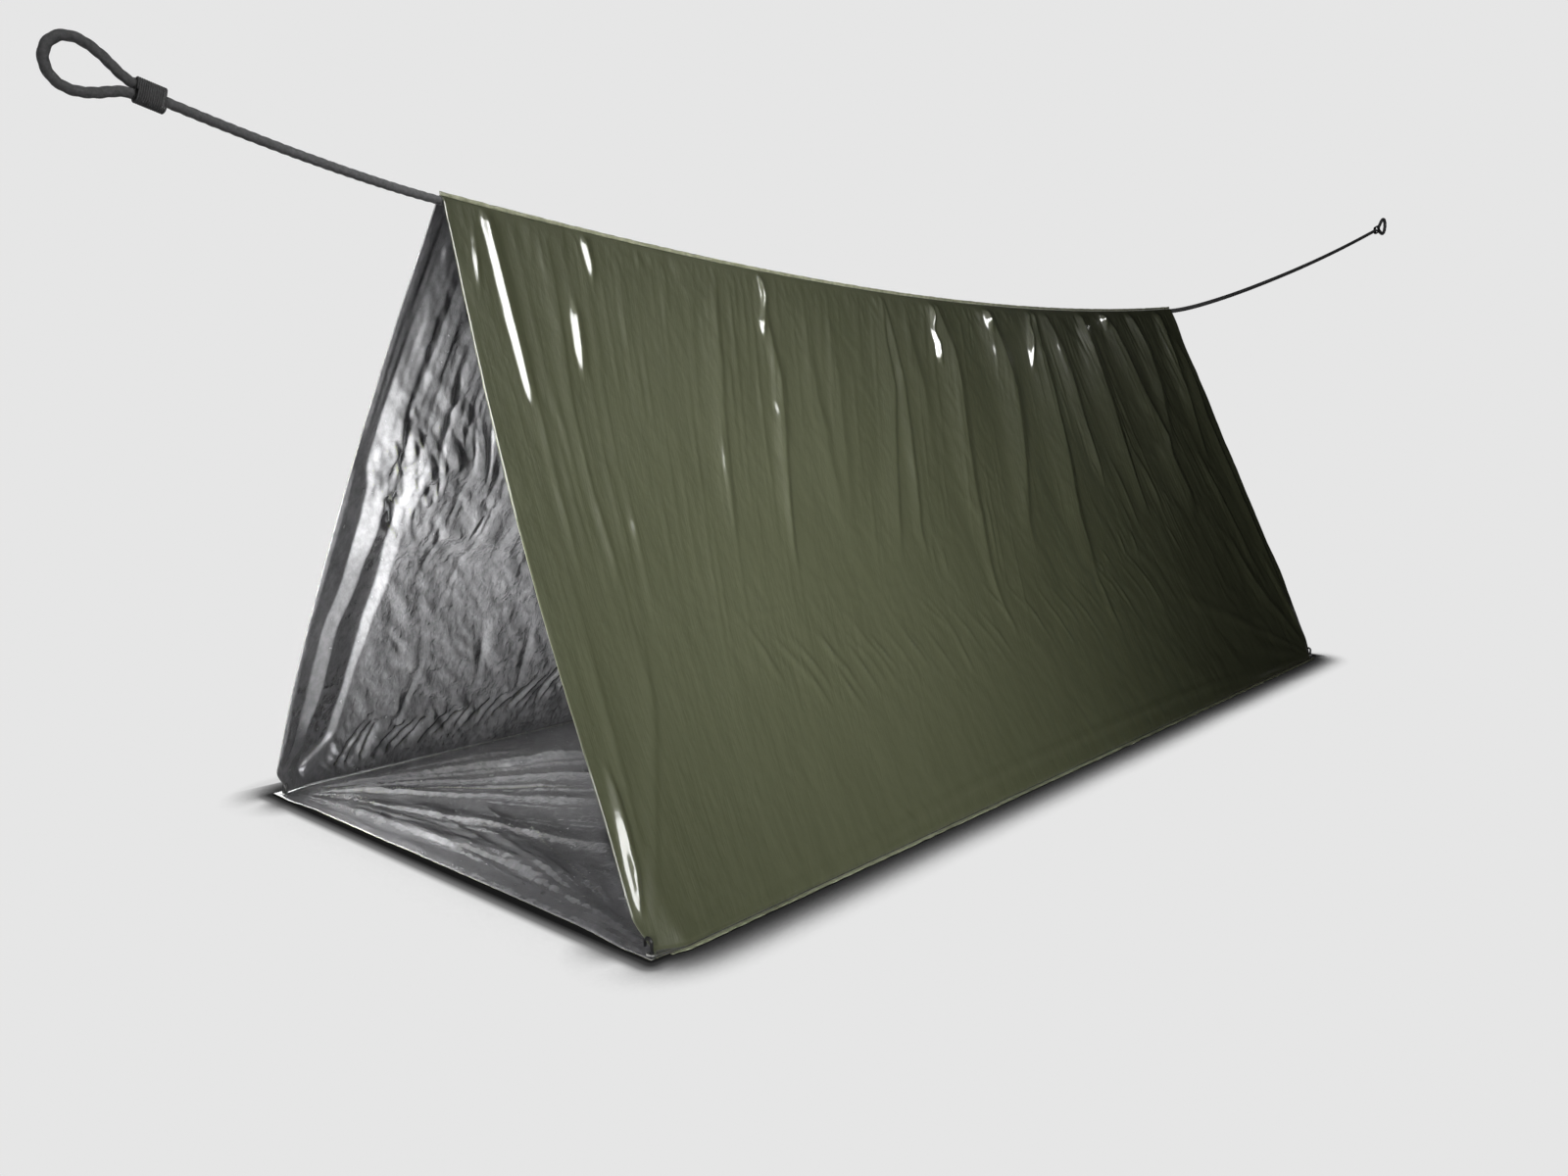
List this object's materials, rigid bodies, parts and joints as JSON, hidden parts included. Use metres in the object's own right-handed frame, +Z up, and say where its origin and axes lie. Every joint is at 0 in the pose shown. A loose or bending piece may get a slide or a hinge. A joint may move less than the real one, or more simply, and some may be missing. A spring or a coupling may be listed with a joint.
{
  "type": "emergency tube tent",
  "caption": "Wedge-shaped tube tent of thin foil film over a sagging ridge line, open at both ends and pegged at its corners.",
  "frame": {"origin": "on the ground plane under the middle of the tent, on the underside of the floor sheet", "axes": "+Y runs along the ridge from the entrance in the picture to the far end, +X is towards the right-hand wall as seen from that entrance, +Z is up"},
  "size_m": [0.9116, 4.7483, 1.52],
  "materials": {
    "olive_film": "gloss",
    "silver_film": "gloss",
    "sealed_edge": "gloss",
    "plated_steel": "satin",
    "black_steel": "satin",
    "rope": "matte",
    "twine": "matte"
  },
  "bodies": {
    "tent": {"right_wall": "olive_film", "left_wall": "olive_film", "floor_sheet": "silver_film", "ridge_seam": "sealed_edge", "right_floor_seam": "sealed_edge", "left_floor_seam": "sealed_edge", "eyelet_front_right": "plated_steel", "washer_front_right": "plated_steel", "eyelet_front_left": "plated_steel", "washer_front_left": "plated_steel", "eyelet_rear_right": "plated_steel", "washer_rear_right": "plated_steel", "eyelet_rear_left": "plated_steel", "washer_rear_left": "plated_steel"},
    "ridge_line": {"ridge_cord": "rope", "front_cord": "rope", "front_seizing": "twine", "front_eye": "rope", "rear_cord": "rope", "rear_seizing": "twine", "rear_eye": "rope"},
    "peg_front_right": {"peg_front_right": "black_steel"},
    "peg_front_left": {"peg_front_left": "black_steel"},
    "peg_rear_right": {"peg_rear_right": "black_steel"},
    "peg_rear_left": {"peg_rear_left": "black_steel"}
  },
  "joints": [
    {"name": "line_lowering", "type": "slide", "parent": "tent", "child": "ridge_line", "axis": [0, 0, -1], "range_m": [0, 0.8]},
    {"name": "pull_front_right", "type": "slide", "parent": "tent", "child": "peg_front_right", "axis": [0, 0, 1], "range_m": [0, 0.145]},
    {"name": "pull_front_left", "type": "slide", "parent": "tent", "child": "peg_front_left", "axis": [0, 0, 1], "range_m": [0, 0.145]},
    {"name": "pull_rear_right", "type": "slide", "parent": "tent", "child": "peg_rear_right", "axis": [0, 0, 1], "range_m": [0, 0.145]},
    {"name": "pull_rear_left", "type": "slide", "parent": "tent", "child": "peg_rear_left", "axis": [0, 0, 1], "range_m": [0, 0.145]}
  ]
}
